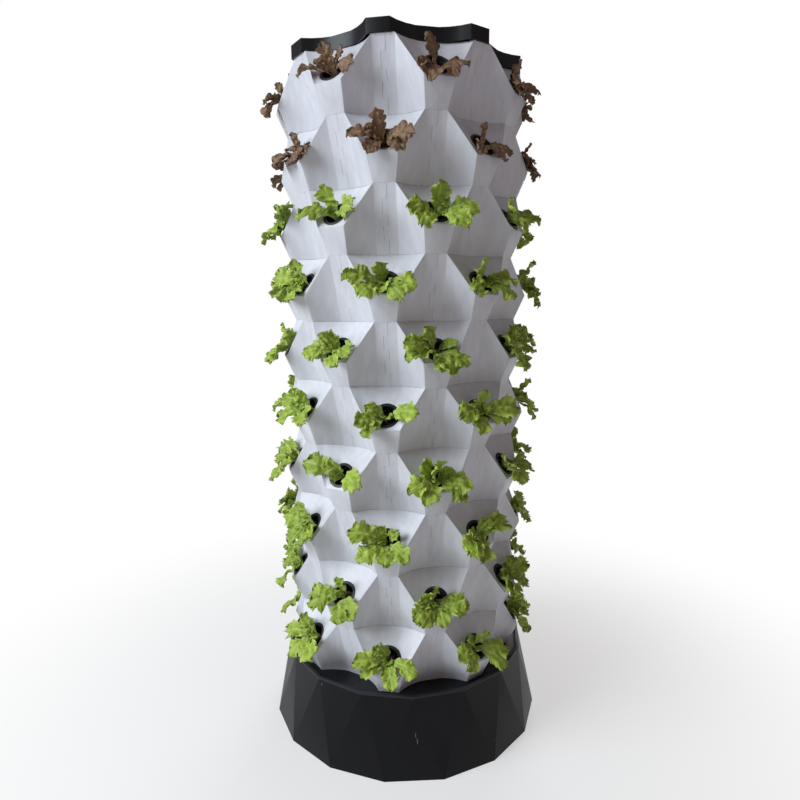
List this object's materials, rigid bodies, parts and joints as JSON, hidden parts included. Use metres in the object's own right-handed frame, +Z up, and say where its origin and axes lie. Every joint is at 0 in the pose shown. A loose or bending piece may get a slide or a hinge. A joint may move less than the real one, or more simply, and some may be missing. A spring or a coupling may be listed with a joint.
{
  "type": "hydroponic tower",
  "caption": "Vertical hydroponic tower of stacked tiers of interlocking pot segments with net cups and seedlings, over a faceted water tank with pump, riser, drain tap and lift-off cover.",
  "frame": {"origin": "centre of the tank's foot on the floor, on the tower's axis", "axes": "+Z up; -Y towards the front, where a column of pots of every other tier faces; +X to the right of it"},
  "size_m": [0.6608, 0.6997, 1.5421],
  "materials": {
    "tower_white": "satin",
    "tank_black": "gloss",
    "cover_plastic": "fine texture",
    "cap_black": "satin",
    "cup_black": "matte",
    "black_plastic": "satin",
    "lever_red": "satin",
    "rubber": "matte",
    "pump_plastic": "satin",
    "impeller_plastic": "satin",
    "pipe_white": "satin",
    "pipe_grey": "satin",
    "tray_white": "satin",
    "plug_foam": "open foam",
    "leaf_green": "soft leaf",
    "leaf_red": "soft leaf"
  },
  "bodies": {
    "base": {"tank_shell": "tank_black", "tank_cover": "cover_plastic", "cable_gland": "rubber", "drain_tap_body": "black_plastic", "drain_tap_nut": "black_plastic", "drain_tap_washer": "rubber", "pump_housing": "pump_plastic", "pump_intake_grille": "pump_plastic", "pump_feet": "rubber", "riser_lower": "pipe_white", "riser_coupling": "pipe_grey", "riser_upper": "pipe_white", "distributor_tray": "tray_white", "tier_01": "tower_white", "tier_02": "tower_white", "tier_03": "tower_white", "tier_04": "tower_white", "tier_05": "tower_white", "tier_06": "tower_white", "tier_07": "tower_white", "tier_08": "tower_white", "tier_09": "tower_white", "tier_10": "tower_white", "net_cups_01": "cup_black", "net_cups_02": "cup_black", "net_cups_03": "cup_black", "net_cups_04": "cup_black", "net_cups_05": "cup_black", "net_cups_06": "cup_black", "net_cups_07": "cup_black", "net_cups_08": "cup_black", "net_cups_09": "cup_black", "net_cups_10": "cup_black", "seedlings_01": "leaf_green", "seedlings_02": "leaf_green", "seedlings_03": "leaf_green", "seedlings_04": "leaf_green", "seedlings_05": "leaf_green", "seedlings_06": "leaf_green", "seedlings_07": "leaf_green", "seedlings_08": "leaf_green", "seedlings_09": "leaf_red", "seedlings_10": "leaf_red", "growing_plugs": "plug_foam"},
    "cover": {"top_cover": "cap_black"},
    "cup_low": {"front_cup_low": "cup_black", "front_plug_low": "plug_foam", "front_seedling_low": "leaf_green"},
    "cup_high": {"front_cup_high": "cup_black", "front_plug_high": "plug_foam", "front_seedling_high": "leaf_red"},
    "impeller": {"pump_impeller": "impeller_plastic"},
    "tap_lever": {"drain_tap_lever": "lever_red"}
  },
  "joints": [
    {"name": "cover_lift", "type": "slide", "parent": "base", "child": "cover", "axis": [0, 0, 1], "range_m": [0, 0.08]},
    {"name": "cup_low_lift", "type": "slide", "parent": "base", "child": "cup_low", "axis": [0, -0.7906, 0.6123], "range_m": [0, 0.07]},
    {"name": "cup_high_lift", "type": "slide", "parent": "base", "child": "cup_high", "axis": [0, -0.7906, 0.6123], "range_m": [0, 0.07]},
    {"name": "impeller_spin", "type": "hinge", "parent": "base", "child": "impeller", "pos_m": [0, 0, 0.045], "axis": [1, 0, 0], "continuous": true},
    {"name": "tap_turn", "type": "hinge", "parent": "base", "child": "tap_lever", "pos_m": [-0.06638, 0.33369, 0.034], "axis": [0, 0, -1], "range_deg": [0, 90]}
  ]
}
